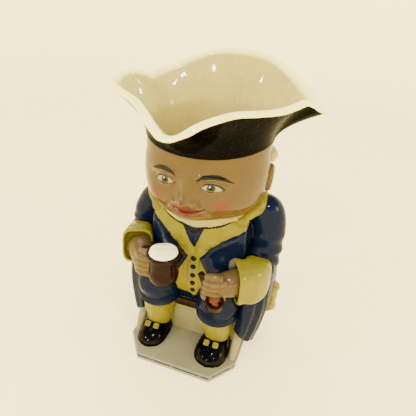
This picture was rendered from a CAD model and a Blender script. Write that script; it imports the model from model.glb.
"""The looks of a toby jug in hand-painted, clear-glazed earthenware.

Places are in millimetres above the base's top face, from the middle of the base, and the
figure faces -y. to_metres turns them into the frame's metres.
"""
import math
import bpy
import numpy as np
from mathutils import Matrix, Vector


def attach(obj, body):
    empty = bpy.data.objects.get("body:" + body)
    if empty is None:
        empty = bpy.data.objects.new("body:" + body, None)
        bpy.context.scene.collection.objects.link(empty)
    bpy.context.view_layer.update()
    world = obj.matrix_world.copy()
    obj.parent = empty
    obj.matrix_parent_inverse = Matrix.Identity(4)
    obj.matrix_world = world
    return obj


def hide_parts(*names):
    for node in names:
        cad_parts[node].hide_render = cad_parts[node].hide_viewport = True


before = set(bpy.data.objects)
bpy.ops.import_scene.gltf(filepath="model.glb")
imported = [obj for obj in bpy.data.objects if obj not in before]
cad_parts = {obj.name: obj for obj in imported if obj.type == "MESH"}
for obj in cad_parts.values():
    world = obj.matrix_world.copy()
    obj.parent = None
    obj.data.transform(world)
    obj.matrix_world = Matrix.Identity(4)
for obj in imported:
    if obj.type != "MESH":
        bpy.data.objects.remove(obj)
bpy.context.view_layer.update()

JUG = "toby_jug"

# Sizes of the clay, in millimetres
WALL = 4.8
FLOOR = 8.0
RIM_THICKNESS = 6.2
BASE_WIDTH = 91.0
BASE_DEPTH = 98.0
BASE_THICKNESS = 6.0
BASE_FRONT_FLAT = 60.6
BASE_CORNER_DEPTH = 20.5
BASE_BACK_CUT = 9.0
BASE_EDGE_ROUND = 1.1
HANDLE_WIDTH = 12.5
HANDLE_THICKNESS = 10.0
HANDLE_FINGER_GAP = 21.0
MUG_RADIUS = 10.6
MUG_HEIGHT = 24.0
PIPE_BOWL_RADIUS = 6.8
BUTTON_RADIUS = 2.1
BUCKLE_SIZE = 4.2
LAPEL_RAISE = 3.0
REVERS_RAISE = 2.2
SEEN_WALL = 0.5            # share of the wall that the painted outer skins take up

# Stations of the body and head: height, half width, half depth, centre's y, squareness
BODY_STATIONS = np.array((
    (-3.0, 38.5, 26.0, 17.0, 5.0),
    (8.0, 42.5, 26.5, 17.2, 5.0),
    (24.0, 51.0, 26.8, 17.2, 4.6),
    (34.0, 53.0, 27.0, 17.0, 4.2),
    (46.0, 53.5, 29.5, 14.5, 3.4),
    (60.0, 51.0, 30.5, 12.0, 2.9),
    (70.0, 45.0, 30.5, 11.0, 2.7),
    (78.0, 39.5, 30.2, 10.6, 2.6),
    (86.0, 38.0, 30.2, 10.3, 2.6),
    (100.0, 40.5, 30.5, 9.0, 2.5),
    (110.0, 39.0, 28.5, 8.0, 2.3),
    (117.0, 34.0, 27.5, 6.0, 2.1),
    (124.0, 38.5, 34.0, 3.0, 2.1),
    (134.0, 43.2, 39.0, 1.2, 2.1),
    (150.0, 44.8, 40.5, 1.0, 2.1),
    (162.0, 44.0, 40.3, 1.5, 2.1),
    (176.0, 43.3, 39.8, 1.5, 2.1),
))
HAT_EDGE = 170.0
HAT_EDGE_RISE = 3.0
HAT_EDGE_LIFT = 4.0
HAT_EDGE_STEP = 1.3
HAT_COLUMNS = 420
HAT_ROWS_OUTSIDE = 60
FLOOR_MIDDLE = 17.0        # the y of the middle of the jug's inner floor
SHOE_SLOPE = 24.0          # degrees by which a buckle lies back on its shoe

# Crest of the hat's rim, from the front corner round the +x side to the back and on round
RIM = np.array((
    (0.0, -64.0, 185.2), (6.0, -62.5, 188.5), (13.0, -55.0, 193.0), (26.0, -43.0, 197.6),
    (39.5, -33.0, 198.8), (49.0, -25.5, 200.0), (56.0, -17.5, 202.5), (60.5, -11.5, 204.4),
    (64.5, -7.8, 203.0), (67.6, -5.2, 200.8), (69.8, -0.5, 199.2), (68.2, 4.5, 200.6),
    (64.8, 9.5, 203.0), (59.5, 17.5, 206.5), (51.5, 28.0, 211.5), (44.0, 36.0, 215.5),
    (36.4, 43.0, 219.2), (27.8, 48.0, 222.0), (16.0, 50.5, 224.3), (0.0, 51.5, 225.0),
    (-12.5, 51.2, 223.9), (-23.6, 49.0, 221.0), (-34.5, 43.0, 216.3), (-43.5, 35.0, 211.4),
    (-52.0, 26.5, 206.6), (-55.5, 16.0, 204.4), (-57.5, 9.0, 207.0), (-62.0, 3.5, 208.2),
    (-66.5, 0.0, 206.6), (-69.4, -3.5, 203.9), (-69.0, -8.5, 201.4), (-66.5, -13.8, 200.3),
    (-60.5, -20.0, 199.5), (-49.0, -29.5, 198.6), (-35.5, -39.5, 196.7), (-24.0, -49.0, 192.2),
    (-17.0, -55.5, 189.0), (-11.0, -60.0, 186.4), (-6.5, -63.0, 184.9),
))

# The chest's cloth, each an outline of (x, height) seen from the front
REVERS = ((1.2, 88.0), (4.2, 83.5), (11.0, 93.5), (20.0, 101.5), (28.0, 105.5), (34.5, 107.5),
          (37.0, 118.0), (26.0, 122.0), (12.0, 117.0), (7.0, 107.0), (2.4, 97.0))
LAPEL = ((4.2, 84.0), (13.0, 67.0), (31.0, 79.0), (34.5, 94.0), (35.0, 109.5), (28.0, 105.0),
         (20.0, 101.0), (11.0, 93.0))
PLACKET = ((-5.2, 50.0), (0.0, 42.5), (5.2, 50.0), (4.6, 70.0), (4.0, 90.0), (-4.0, 90.0),
           (-4.6, 70.0))
WAISTCOAT = ((-21.0, 47.0), (-6.0, 46.0), (6.0, 46.0), (21.0, 47.0), (22.0, 84.0), (0.0, 100.0),
             (-22.0, 84.0))
CRAVAT = ((-11.5, 114.0), (10.0, 113.0), (0.0, 92.0))
LINEN = ((0.0, 109.0), (9.0, 110.8), (20.0, 114.0), (29.0, 120.0), (27.0, 126.0), (-27.0, 126.0),
         (-29.0, 120.0), (-20.0, 114.0), (-9.0, 110.8))
NECKLINE = ((-30.0, 119.0, 0.7), (-20.0, 113.2, 0.9), (-7.0, 109.6, 1.0), (0.0, 105.5, 1.2),
            (6.5, 109.6, 1.0), (20.0, 113.2, 0.9), (30.0, 119.0, 0.7))

# Paint, as linear colours
CREAM = (0.44, 0.37, 0.10)
RIM_CREAM = (0.97, 0.90, 0.32)
BASE_CREAM = (0.205, 0.19, 0.11)
LINEN_WHITE = (0.34, 0.30, 0.15)
FLESH = (0.084, 0.053, 0.0185)
HAIR_WHITE = (0.30, 0.25, 0.12)
COAT_BLUE = (0.0019, 0.0055, 0.026)
YELLOW = (0.160, 0.144, 0.0095)
HAT_BLACK = (0.0006, 0.0006, 0.0006)
MUG_BROWN = (0.0085, 0.0020, 0.0016)
FROTH_WHITE = (0.98, 0.94, 0.60)
BENCH_BROWN = (0.012, 0.005, 0.003)
LINE_BLUE = (0.010, 0.017, 0.095)
LIP_RED = (0.085, 0.010, 0.007)
EMBER_ORANGE = (0.15, 0.035, 0.012)
PAINT_BLACK = (0.001, 0.001, 0.001)
SPECK_BROWN = (0.002, 0.0016, 0.001)
HAT_WASH = (0.003, 0.0035, 0.003)
FLESH_POOLED = (0.038, 0.018, 0.005)
FLESH_WORN = (0.15, 0.105, 0.042)
CHEEK_RED = (0.13, 0.020, 0.009)
PARTING_RED = (0.02, 0.004, 0.003)
EYE_WHITE = (0.25, 0.23, 0.14)
IRIS_GREY = (0.018, 0.028, 0.030)
GLINT_WHITE = (0.8, 0.8, 0.75)
BLUE_WASH = (0.009, 0.018, 0.043)
BLUE_POOLED = (0.0006, 0.0012, 0.0042)
BLUE_WORN = (0.016, 0.024, 0.038)
BLUE_RUBBED = (0.09, 0.09, 0.07)
SEAM_OLIVE = (0.045, 0.034, 0.004)
COAT_RUBBED = (0.12, 0.11, 0.05)
YELLOW_POOLED = (0.040, 0.031, 0.002)
YELLOW_WORN = (0.27, 0.25, 0.035)
SOLE_GREY = (0.010, 0.011, 0.010)
SHOE_WORN = (0.012, 0.012, 0.011)
BLACK_WORN = (0.005, 0.005, 0.008)
BROWN_WORN = (0.030, 0.009, 0.005)
EMBER_WORN = (0.5, 0.2, 0.05)
BENCH_WORN = (0.03, 0.013, 0.008)
FLOOR_PAINT = (0.97, 0.83, 0.46)
FLOOR_GLOW = (1.0, 0.88, 0.42)
SKY_WHITE = (1.0, 0.95, 0.86)
SOFTBOX_WHITE = (1.0, 0.97, 0.92)
LAMP_WHITE = (1.0, 0.98, 0.95)

SIDES = (("left", 1), ("right", -1))     # the figure's own left is at +x


def to_metres(places):
    """Places in millimetres above the base's top, as metres in the frame."""
    out = np.array(places, float) / 1000.0
    out[..., 2] += BASE_THICKNESS / 1000.0
    return out


def curve_between(knots, values, at):
    """A smooth value at each place asked for, by cubics that don't overshoot the knots."""
    knots = np.asarray(knots, float)
    values = np.asarray(values, float)
    steps = np.diff(knots)
    slopes = np.diff(values) / steps
    same_way = slopes[:-1] * slopes[1:] > 0
    total = np.where(same_way, slopes[:-1] + slopes[1:], 1.0)
    tangents = np.zeros_like(values)
    tangents[1:-1] = np.where(same_way, 2 * slopes[:-1] * slopes[1:] / total, 0.0)
    tangents[0] = slopes[0]
    tangents[-1] = slopes[-1]
    at = np.clip(np.asarray(at, float), knots[0], knots[-1])
    k = np.clip(np.searchsorted(knots, at) - 1, 0, len(steps) - 1)
    t = (at - knots[k]) / steps[k]
    blend = t * t * (3 - 2 * t)
    rise = steps[k] * (t * (1 - t) ** 2 * tangents[k] - t * t * (1 - t) * tangents[k + 1])
    return values[k] * (1 - blend) + values[k + 1] * blend + rise


def open_line(points, count):
    """Points along a smooth line through the given ones, at even steps of their number."""
    points = np.asarray(points, float)
    knots = np.arange(len(points))
    at = np.linspace(0, len(points) - 1, count)
    return np.stack([curve_between(knots, column, at) for column in points.T], axis=1)


def closed_line(points, count):
    """Points at even steps of length along a closed cubic through the given ones."""
    b = np.asarray(points, float)[:, None, :]
    a, c, d = np.roll(b, 1, axis=0), np.roll(b, -1, axis=0), np.roll(b, -2, axis=0)
    t = np.linspace(0, 1, 24, endpoint=False)[None, :, None]
    fine = 0.5 * (2 * b + (c - a) * t + (2 * a - 5 * b + 4 * c - d) * t ** 2
                  + (3 * b - a - 3 * c + d) * t ** 3)
    fine = fine.reshape(-1, 3)
    fine = np.vstack([fine, fine[:1]])
    length = np.concatenate([[0], np.cumsum(np.linalg.norm(np.diff(fine, axis=0), axis=1))])
    at = np.linspace(0, length[-1], count, endpoint=False)
    return np.stack([np.interp(at, length, column) for column in fine.T], axis=1)


def smooth_step(value, low, high):
    """0 below low, 1 above high, and an S-curve between."""
    t = np.clip((value - low) / (high - low), 0.0, 1.0)
    return t * t * (3 - 2 * t)


def hump(value, middle, spread):
    """A bell curve of height 1."""
    return np.exp(-((value - middle) / spread) ** 2)


def signed_power(value, power):
    """A power of the size of a value that keeps its sign, as superellipses need."""
    return np.sign(value) * np.abs(value) ** power


def around(count):
    """Even angles all the way round, from 0."""
    return np.arange(count) * 2 * math.pi / count


def ball_angles(rows, columns, gap):
    """Latitudes in a column and longitudes in a row, with a small gap left at the poles."""
    lat = np.linspace(-math.pi / 2 + gap, math.pi / 2 - gap, rows)[:, None]
    return lat, around(columns)[None, :]


def outline_field(x, z, outline):
    """Distance to a closed outline, negative inside it."""
    corners = np.asarray(outline, float)
    after = np.roll(corners, -1, axis=0)
    near = np.full(np.shape(x), 1e9)
    inside = np.zeros(np.shape(x), bool)
    for (ax, az), (bx, bz) in zip(corners, after):
        ex, ez = bx - ax, bz - az
        share = np.clip(((x - ax) * ex + (z - az) * ez) / (ex * ex + ez * ez), 0.0, 1.0)
        near = np.minimum(near, np.hypot(x - ax - share * ex, z - az - share * ez))
        crosses = (az > z) != (bz > z)
        slope = ex / ez if ez else 0.0
        inside ^= crosses & (x < ax + (z - az) * slope)
    return np.where(inside, -near, near)


def stroke_field(x, z, line):
    """Distance to a brush stroke through (x, height, half width) points, negative inside."""
    near = np.full(np.shape(x), 1e9)
    for px, pz, half in open_line(line, 48):
        near = np.minimum(near, np.hypot(x - px, z - pz) - half)
    return near


def grid_faces(rows, columns):
    """Quads of a grid whose columns run around and whose rows run along."""
    i = np.arange(rows - 1)[:, None] * columns
    j = np.arange(columns)[None, :]
    k = (j + 1) % columns
    quads = np.stack([i + j, i + k, i + columns + k, i + columns + j], axis=-1)
    return quads.reshape(-1, 4).tolist()


def closed_form(grid):
    """A grid's places and faces, with each end closed by a fan to its middle."""
    rows, columns = grid.shape[:2]
    middle = rows * columns
    j = np.arange(columns)
    k = (j + 1) % columns
    first = np.stack([k, j, np.full(columns, middle)], axis=1)
    last = np.stack([j, k, np.full(columns, middle + 1)], axis=1)
    last[:, :2] += (rows - 1) * columns
    ends = [grid[0].mean(axis=0), grid[-1].mean(axis=0)]
    places = np.vstack([grid.reshape(-1, 3), ends])
    return places, grid_faces(rows, columns) + first.tolist() + last.tolist()


def ring_form(grid):
    """A grid's places and faces when its last row joins its first, as on a hollow wall."""
    rows, columns = grid.shape[:2]
    faces = np.array(grid_faces(rows + 1, columns)) % (rows * columns)
    return grid.reshape(-1, 3), faces.tolist()


def volume_of(places, faces):
    """Signed volume inside the faces, by fans from their first corners."""
    quads = np.array([f if len(f) == 4 else list(f) + [f[-1]] for f in faces])
    a, b, c, d = (places[quads[:, k]] for k in range(4))
    return np.einsum("ij,ij->", a, np.cross(b, c) + np.cross(c, d)) / 6


def outwards(form):
    """A form with its faces turned outwards."""
    places, faces = form
    if volume_of(places, faces) < 0:
        faces = [f[::-1] for f in faces]
    return places, faces


def add_object(name, data):
    """A new object in the scene for a mesh, a light or a camera."""
    made = bpy.data.objects.new(name, data)
    bpy.context.scene.collection.objects.link(made)
    return made


def add_mesh(name, places, faces):
    """A new smooth mesh object, with its places in metres."""
    mesh = bpy.data.meshes.new(name)
    mesh.from_pydata(places.tolist(), [], faces)
    mesh.shade_smooth()
    return add_object(name, mesh)


def make_piece(name, form, fields=None):
    """A mesh object from a form, with its faces outwards and its fields as attributes."""
    places, faces = outwards(form)
    piece = add_mesh(name, to_metres(places), faces)
    for field, values in (fields or {}).items():
        set_field(piece, field, values)
    return piece


def set_field(piece, field, values):
    """Store one number a vertex; a form's two end points take its last values."""
    values = np.ravel(values)
    count = len(piece.data.vertices)
    values = np.concatenate([values, np.full(count - len(values), values[-1])])
    layer = piece.data.attributes.new(field, "FLOAT", "POINT")
    layer.data.foreach_set("value", values.astype(np.float32))


def places_of(piece):
    """A mesh's places, in millimetres above the base's top."""
    out = np.empty(len(piece.data.vertices) * 3, np.float32)
    piece.data.vertices.foreach_get("co", out)
    out = out.reshape(-1, 3).astype(float) * 1000.0
    out[:, 2] -= BASE_THICKNESS
    return out


def normals_of(piece):
    """A mesh's normals at its vertices."""
    out = np.empty(len(piece.data.vertices) * 3, np.float32)
    piece.data.vertex_normals.foreach_get("vector", out)
    return out.reshape(-1, 3).astype(float)


def move_to(piece, places):
    """Put a mesh's vertices at new places."""
    piece.data.vertices.foreach_set("co", to_metres(places).astype(np.float32).ravel())
    piece.data.update()


def fuse(name, forms, cell, smoothing):
    """Closed forms run together into one skin, as slip fills the joins between them.

    The forms are remeshed together on cells of one size and then smoothed.
    """
    places = []
    faces = []
    count = 0
    for form_places, form_faces in map(outwards, forms):
        places.append(form_places)
        faces += [[k + count for k in f] for f in form_faces]
        count += len(form_places)
    piece = add_mesh(name, to_metres(np.vstack(places)), faces)
    skin = piece.modifiers.new("skin", "REMESH")
    skin.mode = "VOXEL"
    skin.voxel_size = cell / 1000.0
    soften = piece.modifiers.new("soften", "SMOOTH")
    soften.factor = 0.5
    soften.iterations = smoothing
    return settle(piece)


def settle(piece):
    """Make what a piece's modifiers give its own mesh."""
    graph = bpy.context.evaluated_depsgraph_get()
    result = bpy.data.meshes.new_from_object(piece.evaluated_get(graph))
    piece.modifiers.clear()
    old, piece.data = piece.data, result
    bpy.data.meshes.remove(old)
    result.name = piece.name
    result.shade_smooth()
    return piece


def edge_ends(piece):
    """The two vertex numbers of every edge of a mesh."""
    ends = np.empty(len(piece.data.edges) * 2, np.int32)
    piece.data.edges.foreach_get("vertices", ends)
    return ends.reshape(-1, 2)


def spread_out(values, ends, rounds):
    """Average each vertex's value with its neighbours', several times."""
    reach = np.bincount(ends.ravel(), minlength=len(values)) + 1.0
    for _ in range(rounds):
        total = values.copy()
        np.add.at(total, ends[:, 0], values[ends[:, 1]])
        np.add.at(total, ends[:, 1], values[ends[:, 0]])
        values = total / reach[(...,) + (None,) * (values.ndim - 1)]
    return values


def add_crest(piece, rounds=5):
    """Store how far each place stands out from its smoothed surroundings, in millimetres."""
    places = places_of(piece)
    ends = edge_ends(piece)
    calm = spread_out(places, ends, rounds)
    stands = np.einsum("ij,ij->i", places - calm, normals_of(piece))
    set_field(piece, "crest", spread_out(stands, ends, 1))


# The vessel's level rings and the hat

def body_sizes(height):
    """Half width, half depth, centre's y and squareness of the body at a height."""
    table = BODY_STATIONS.T
    return [curve_between(table[0], row, height) for row in table[1:]]


def body_ring(height, angles, grow=0.0):
    """One level ring, a superellipse whose sizes follow the stations, grown in plan."""
    a, b, centre, power = body_sizes(height)
    c, s = np.cos(angles), np.sin(angles)
    x = (a + grow) * signed_power(c, 2 / power)
    y = centre + (b + grow) * signed_power(s, 2 / power)
    return np.stack([x, y, np.broadcast_to(height, x.shape).astype(float)], axis=-1)


def body_depth(x, z):
    """The y of the body's front at places given by x and height."""
    a, b, centre, power = body_sizes(z)
    share = np.clip(np.abs(x) / a, 0.0, 1.0)
    return centre - b * (1.0 - share ** power) ** (1.0 / power)


def plan_normals(ring):
    """Outward normals in plan of a ring that runs anticlockwise."""
    ahead = np.roll(ring, -1, axis=0) - np.roll(ring, 1, axis=0)
    normal = np.zeros(ring.shape)
    normal[:, 0], normal[:, 1] = ahead[:, 1], -ahead[:, 0]
    return normal / np.linalg.norm(normal, axis=1, keepdims=True)


def hat_edge(angles, grow, lift):
    """The hat's lower edge on the head, or a ring near it."""
    ring = body_ring(BODY_STATIONS[-1][0], angles, grow)
    ring[:, 2] = edge_height(angles) + lift
    return ring


def edge_height(angles):
    """The height of the hat's lower edge, which rises to the back and at the temples."""
    return HAT_EDGE + HAT_EDGE_RISE * np.sin(angles) + HAT_EDGE_LIFT * np.cos(angles) ** 2


def hat_side(start, end, share):
    """A ring of the hat's side, which flares more the higher it gets."""
    ring = start + (end - start) * share ** 1.5
    ring[:, 2] = start[:, 2] + (end[:, 2] - start[:, 2]) * share ** 0.85
    return ring


def hat_and_bowl():
    """The hat from its lower edge over the rim, and the jug's inside down to the floor.

    Rings run up the outside, over a half-round rim, down the inside and back up behind it.
    """
    count = HAT_COLUMNS
    rim = closed_line(RIM, count)
    seen = np.unwrap(np.arctan2(rim[:, 1], rim[:, 0]))
    even = -math.pi / 2 + around(count)
    seen += even[0] - seen[0]
    out = plan_normals(rim)
    half = RIM_THICKNESS / 2
    behind = WALL * 0.33
    edge = hat_edge(seen, HAT_EDGE_STEP, -0.5)
    outside = rim + out * half - (0, 0, half)
    rings = [hat_edge(seen, -behind, -1.5), hat_edge(seen, HAT_EDGE_STEP - 1.2, -1.6),
             hat_edge(seen, HAT_EDGE_STEP - 0.3, -1.3), edge]
    rings += [hat_side(edge, outside, share)
              for share in np.linspace(0.02, 0.98, HAT_ROWS_OUTSIDE - len(rings))]
    painted = len(rings)
    rings += [rim + out * half * math.cos(turn) + (0, 0, half * math.sin(turn) - half)
              for turn in np.linspace(0, math.pi, 15)]
    inside = rim - out * half - (0, 0, half)
    edge = hat_edge(seen, HAT_EDGE_STEP - WALL, 0.0)
    floor = FLOOR - BASE_THICKNESS

    def level(height, grow):
        share = np.clip((height - 110.0) / 50.0, 0.0, 1.0)
        return body_ring(height, even + (seen - even) * share, grow)

    bowl = [hat_side(edge, inside, share) for share in np.linspace(0.97, 0.16, 46)]
    heights = (*np.linspace(160.0, 6.0, 60), 4.0, 2.8, floor + 0.2)
    bowl += [level(height, -WALL) for height in heights]
    bowl = np.stack(bowl)
    row = np.arange(len(bowl))[:, None, None]
    calm = smooth_step(row, 4.0, 16.0) * smooth_step(-row, -58.0, -50.0)
    bowl += (spread_rows(bowl, 9) - bowl) * calm
    rings += list(bowl)
    for height, grow, shares in ((floor, -WALL - 1.0, (0.93, 0.8, 0.5, 0.2, 0.012, 0.004)),
                                 (floor - 2.0, -behind, (0.004, 0.5, 0.9))):
        for share in shares:
            ring = level(height, grow)
            ring[:, :2] *= share
            ring[:, 1] += FLOOR_MIDDLE * (1 - share)
            rings.append(ring)
    rings += [level(height, -behind) for height in np.linspace(floor - 1.5, 162.0, 14)]
    grid = np.stack(rings)
    step = np.linalg.norm(np.diff(grid, axis=0, prepend=grid[:1]), axis=2)
    along = np.cumsum(step, axis=0)
    brim = along - along[painted][None, :]
    return make_piece("hat_and_bowl", ring_form(grid), {"brim": brim})


# The head and its face, the maker's own on plain proportions

EYE_X, EYE_Z = 15.8, 147.6
MOUTH_Z = 130.2
NOSE_Z = 137.2
NECK_BOTTOM = 116.0
EAR_PLACE = (44.2, 6.0, 147.0)
EAR_TILT = -14.0

# Broad swellings and hollows: height, distance from the middle, its spread, level, its spread
FACE_HUMPS = (
    (-2.4, EYE_X, 10.0, EYE_Z + 1.2, 5.0),
    (-0.8, 8.9, 1.2, NOSE_Z - 0.6, 3.2),
    (-0.6, 0.0, 1.3, MOUTH_Z + 3.6, 1.6),
    (3.0, 22.5, 9.5, 136.0, 8.0),
    (2.9, 0.0, 14.0, MOUTH_Z - 1.0, 6.0),
    (-1.0, 0.0, 7.0, MOUTH_Z - 4.8, 1.4),
    (6.0, 0.0, 10.5, 122.6, 4.8),
    (2.2, 14.0, 10.0, 123.0, 4.5),
)
BROW_LINE = ((7.2, 152.4, 0.5), (11.0, 154.6, 1.25), (17.0, 155.6, 1.45), (23.5, 154.4, 1.0),
             (28.5, 151.8, 0.3))
UPPER_LID_LINE = ((9.0, 147.0, 0.25), (12.0, 149.9, 0.5), (16.0, 150.8, 0.65), (20.5, 149.6, 0.6),
                  (23.6, 146.8, 0.3))
LOWER_LID_LINE = ((10.0, 146.4, 0.12), (15.8, 145.5, 0.26), (22.0, 146.6, 0.12))
LID_FOLD_LINE = ((10.2, 151.2, 0.1), (16.0, 152.6, 0.22), (22.5, 151.0, 0.1))


def eye_opening(grow):
    """The almond of an eye's opening as an outline of (distance from the middle, height)."""
    turn = np.linspace(0, 2 * math.pi, 28, endpoint=False)
    x = EYE_X + (7.0 + grow) * np.cos(turn)
    lift = np.where(np.sin(turn) > 0, 2.9, 1.9) + grow
    z = EYE_Z + lift * np.sin(turn) - 0.35 * np.cos(turn)
    return np.stack([x, z], axis=1)


def mouth_line(ax):
    """The height of the line between the lips at a distance from the middle."""
    return MOUTH_Z + 0.012 * ax ** 2 - 0.35 * hump(ax, 0.0, 2.0)


def face_relief(x, z):
    """How far the face stands out from the plain head at each place, in millimetres."""
    ax = np.abs(x)
    rise = np.zeros_like(x)
    for by, out, spread, level, reach in FACE_HUMPS:
        rise += by * hump(ax, out, spread) * hump(z, level, reach)
    eye = ((ax - EYE_X) / 7.4) ** 2 + ((z - EYE_Z) / 4.6) ** 2
    rise += 2.3 * np.sqrt(np.clip(1.0 - eye, 0.0, 1.0)) * smooth_step(1.0 - eye, 0.0, 0.35)
    lid = np.abs(eye ** 0.5 - 0.98)
    rise += 0.7 * hump(lid, 0.0, 0.14) * smooth_step(z, EYE_Z - 1.0, EYE_Z + 1.0)
    rise += 0.35 * hump(lid, 0.0, 0.14) * smooth_step(-z, 0.5 - EYE_Z, 1.5 - EYE_Z)
    brow_z = 153.6 - 0.006 * (ax - 14.0) ** 2
    brow_ends = smooth_step(ax, 2.0, 8.0) * smooth_step(-ax, -31.0, -22.0)
    rise += 1.9 * hump(z, brow_z, 2.6) * brow_ends
    bridge = smooth_step(z, NOSE_Z - 2.0, NOSE_Z + 1.0) * smooth_step(-z, -158.0, -150.0)
    slope = np.interp(z, (NOSE_Z, 151.0, 157.0), (6.6, 2.0, 0.6))
    rise += bridge * slope * np.exp(-(ax / np.interp(z, (NOSE_Z, 150.0), (4.0, 3.6))) ** 2)
    tip = np.where(z > NOSE_Z - 1.0, 5.0, 2.3)
    rise += 4.6 * hump(x, 0.0, 4.9) * hump(z, NOSE_Z - 1.0, tip)
    wing = np.where(z > NOSE_Z - 1.4, 3.0, 1.9)
    rise += 3.0 * hump(ax, 5.6, 2.5) * hump(z, NOSE_Z - 1.4, wing)
    fold = np.interp(z, (126.0, 137.0), (15.5, 10.4))
    rise -= 0.9 * hump(ax, fold, 1.8) * hump(z, 132.0, 5.0)
    line = mouth_line(ax)
    wide = smooth_step(-ax, -12.6, -9.0)
    upper = 1.5 * hump(z, line + 1.5, 1.3) * (0.75 + 0.35 * hump(ax, 3.2, 2.6))
    lower = 1.9 * hump(z, line - 1.8, 1.7) * hump(ax, 0.0, 9.0)
    rise += wide * (upper + lower) - 1.1 * smooth_step(-ax, -13.5, -11.0) * hump(z, line, 0.55)
    return rise


def head():
    """The head's wall: level rings between neck and hat, raised by the face's relief."""
    count = 600
    table = np.linspace(0, 1, count, endpoint=False)
    turn = 2 * math.pi * (table - 0.085 * np.sin(2 * math.pi * table))
    angles = -math.pi / 2 + turn
    share = np.linspace(0, 1, 150)[:, None]
    high = edge_height(angles)[None, :] - 0.4
    z = NECK_BOTTOM + (high - NECK_BOTTOM) * share
    plain = body_ring(z, np.broadcast_to(angles, z.shape))
    normal = np.stack([np.cos(angles), np.sin(angles), 0 * angles], axis=-1)[None]
    front = smooth_step(-np.sin(angles), 0.05, 0.35)[None, :]
    rise = face_relief(plain[..., 0], z) * front
    outer = plain + normal * rise[..., None]
    outer[..., 2] -= 0.16 * np.clip(rise - 2.0, 0.0, 9.0) * front
    inner = body_ring(z[::-15], np.broadcast_to(angles, z[::-15].shape), -WALL * SEEN_WALL)
    grid = np.concatenate([outer, inner])
    x, height = grid[..., 0], grid[..., 2]
    facing = grid[..., 1] < 0
    fields = {}

    def keep_front(name, values, away=9.0):
        fields[name] = np.where(facing, values, away)

    ax = np.abs(x)
    strokes = [stroke_field(ax, height, line)
               for line in (BROW_LINE, UPPER_LID_LINE, LOWER_LID_LINE, LID_FOLD_LINE)]
    keep_front("brush", np.minimum.reduce(strokes))
    keep_front("eye", outline_field(ax, height, eye_opening(-0.5)))
    from_middle = np.hypot(ax - EYE_X, height - EYE_Z - 0.2)
    keep_front("iris", from_middle - 2.75)
    keep_front("pupil", from_middle - 1.35)
    keep_front("glint", np.hypot(ax - EYE_X + 0.9 * np.sign(x), height - EYE_Z - 1.1) - 0.45)
    line = mouth_line(ax)
    lip_top = line + 2.3 * (1 - (ax / 12.2) ** 2) - 0.5 * hump(ax, 0.0, 1.6)
    lip_low = line - 2.9 * np.sqrt(np.clip(1 - (ax / 10.5) ** 2, 0, 1))
    keep_front("lips", np.maximum(np.maximum(height - lip_top, lip_low - height), ax - 12.2))
    keep_front("parting", np.abs(height - line) - 0.34 * smooth_step(-ax, -13.2, -10.0))
    blush = hump(ax, 23.0, 6.5) * hump(height, 135.5, 5.5)
    blush += 0.75 * hump(x, 0.0, 4.0) * hump(height, NOSE_Z - 1.0, 3.4)
    keep_front("blush", blush, 0.0)
    return make_piece("head", ring_form(grid), fields)


def ear(word, side):
    """An ear: a flattened ball whose outer face has a rolled rim and a hollow."""
    lat, lon = ball_angles(60, 96, 0.02)
    out = np.sin(lat) + 0 * lon
    across = np.cos(lat) * np.cos(lon)
    upright = np.cos(lat) * np.sin(lon)
    radius = np.cos(lat) + 0 * lon
    face = smooth_step(out, 0.0, 0.3)
    dent = face * (1.9 * hump(radius, 0.35, 0.38) - 1.0 * hump(radius, 0.86, 0.13))
    fold = face * 0.9 * hump(radius, 0.58, 0.10) * smooth_step(upright, -0.2, 0.2)
    x = 3.6 * out - dent + fold
    y = 6.0 * across * (1.0 + 0.16 * upright)
    z = 9.5 * upright - 0.8 * hump(upright, -0.95, 0.3)
    grid = np.stack([x, *turned(y, z, EAR_TILT)], axis=-1) + EAR_PLACE
    grid[..., 0] *= side
    return make_piece("ear_" + word, closed_form(grid))


# Limbs, balls and other simple forms

def limb_grid(points, rows, columns, flat=(1.0, 1.0), relief=None, square=2.0):
    """A round or squarish profile carried along a smooth path of (x, y, height, radius) points.

    Both ends are rounded off. relief gives a rise for each share of the path and turn.
    """
    line = open_line(points, rows)
    path, radii = line[:, :3], line[:, 3]
    ahead = np.gradient(path, axis=0)
    ahead /= np.linalg.norm(ahead, axis=1, keepdims=True)
    side = np.cross(ahead, (0.0, 0.0, 1.0))
    length = np.linalg.norm(side, axis=1, keepdims=True)
    side = np.where(length < 0.2, (1.0, 0.0, 0.0), side / np.maximum(length, 1e-6))
    for i in range(1, rows):
        if np.dot(side[i], side[i - 1]) < 0:
            side[i] = -side[i]
    side = spread_rows(side, 6)
    side -= ahead * np.einsum("ij,ij->i", side, ahead)[:, None]
    side /= np.linalg.norm(side, axis=1, keepdims=True)
    up = np.cross(side, ahead)
    turn = around(columns)
    share = np.linspace(0, 1, rows)
    rise = relief(share[:, None], turn[None, :]) if relief else 0.0
    wide = (radii[:, None] + rise)[..., None]
    c, s = np.cos(turn), np.sin(turn)
    across = flat[0] * signed_power(c, 2 / square)
    upright = flat[1] * signed_power(s, 2 / square)
    ring = across[None, :, None] * side[:, None] + upright[None, :, None] * up[:, None]
    grid = path[:, None] + wide * ring
    ends = []
    for at, way in ((0, -1.0), (-1, 1.0)):
        cap = []
        for bend in (0.35, 0.7, 1.0, 1.25, 1.42):
            out = way * ahead[at] * radii[at] * 0.35 * math.sin(bend)
            cap.append(path[at] + out + (grid[at] - path[at]) * math.cos(bend))
        ends.append(np.stack(cap))
    return np.concatenate([ends[0][::-1], grid, ends[1]])


def spread_rows(values, rounds):
    """Average each row with the rows beside it, several times."""
    for _ in range(rounds):
        padded = np.concatenate([values[:1], values, values[-1:]])
        values = (padded[:-2] + 2 * padded[1:-1] + padded[2:]) / 4
    return values


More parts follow.
